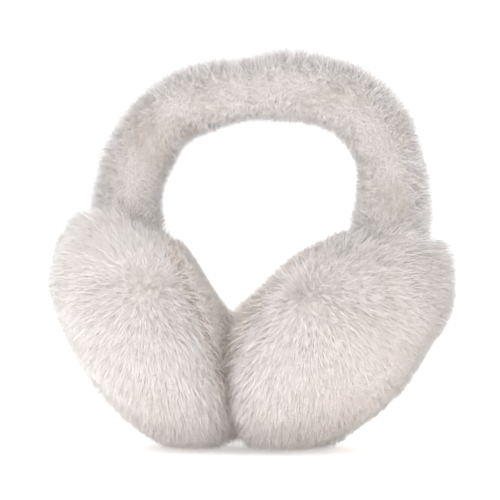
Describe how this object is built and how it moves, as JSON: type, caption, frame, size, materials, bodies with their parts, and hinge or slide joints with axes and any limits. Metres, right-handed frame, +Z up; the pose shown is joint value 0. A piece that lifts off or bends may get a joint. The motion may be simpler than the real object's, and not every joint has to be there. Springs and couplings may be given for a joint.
{
  "type": "fur earmuffs",
  "caption": "Fur earmuffs: a thick plush headband ending in two large puffy fur ear cups with cushioned inner sides, standing on the undersides of the cups.",
  "frame": {"origin": "the surface it stands on, under the middle of the whole set", "axes": "+Z up to the top of the headband, +X from the left cup to the right cup as seen from the front, -Y the front"},
  "size_m": [0.2268, 0.1354, 0.2184],
  "materials": {
    "plush": "short dense off-white plush pile, matte",
    "deep_fur": "long soft off-white fur in loose locks, matte",
    "pad_fur": "short soft fur over a cushion, matte, a little warmer"
  },
  "bodies": {
    "root": {"headband_fur": "plush", "left_cup_fur": "deep_fur", "left_ear_pad": "pad_fur", "right_cup_fur": "deep_fur", "right_ear_pad": "pad_fur"}
  },
  "joints": []
}
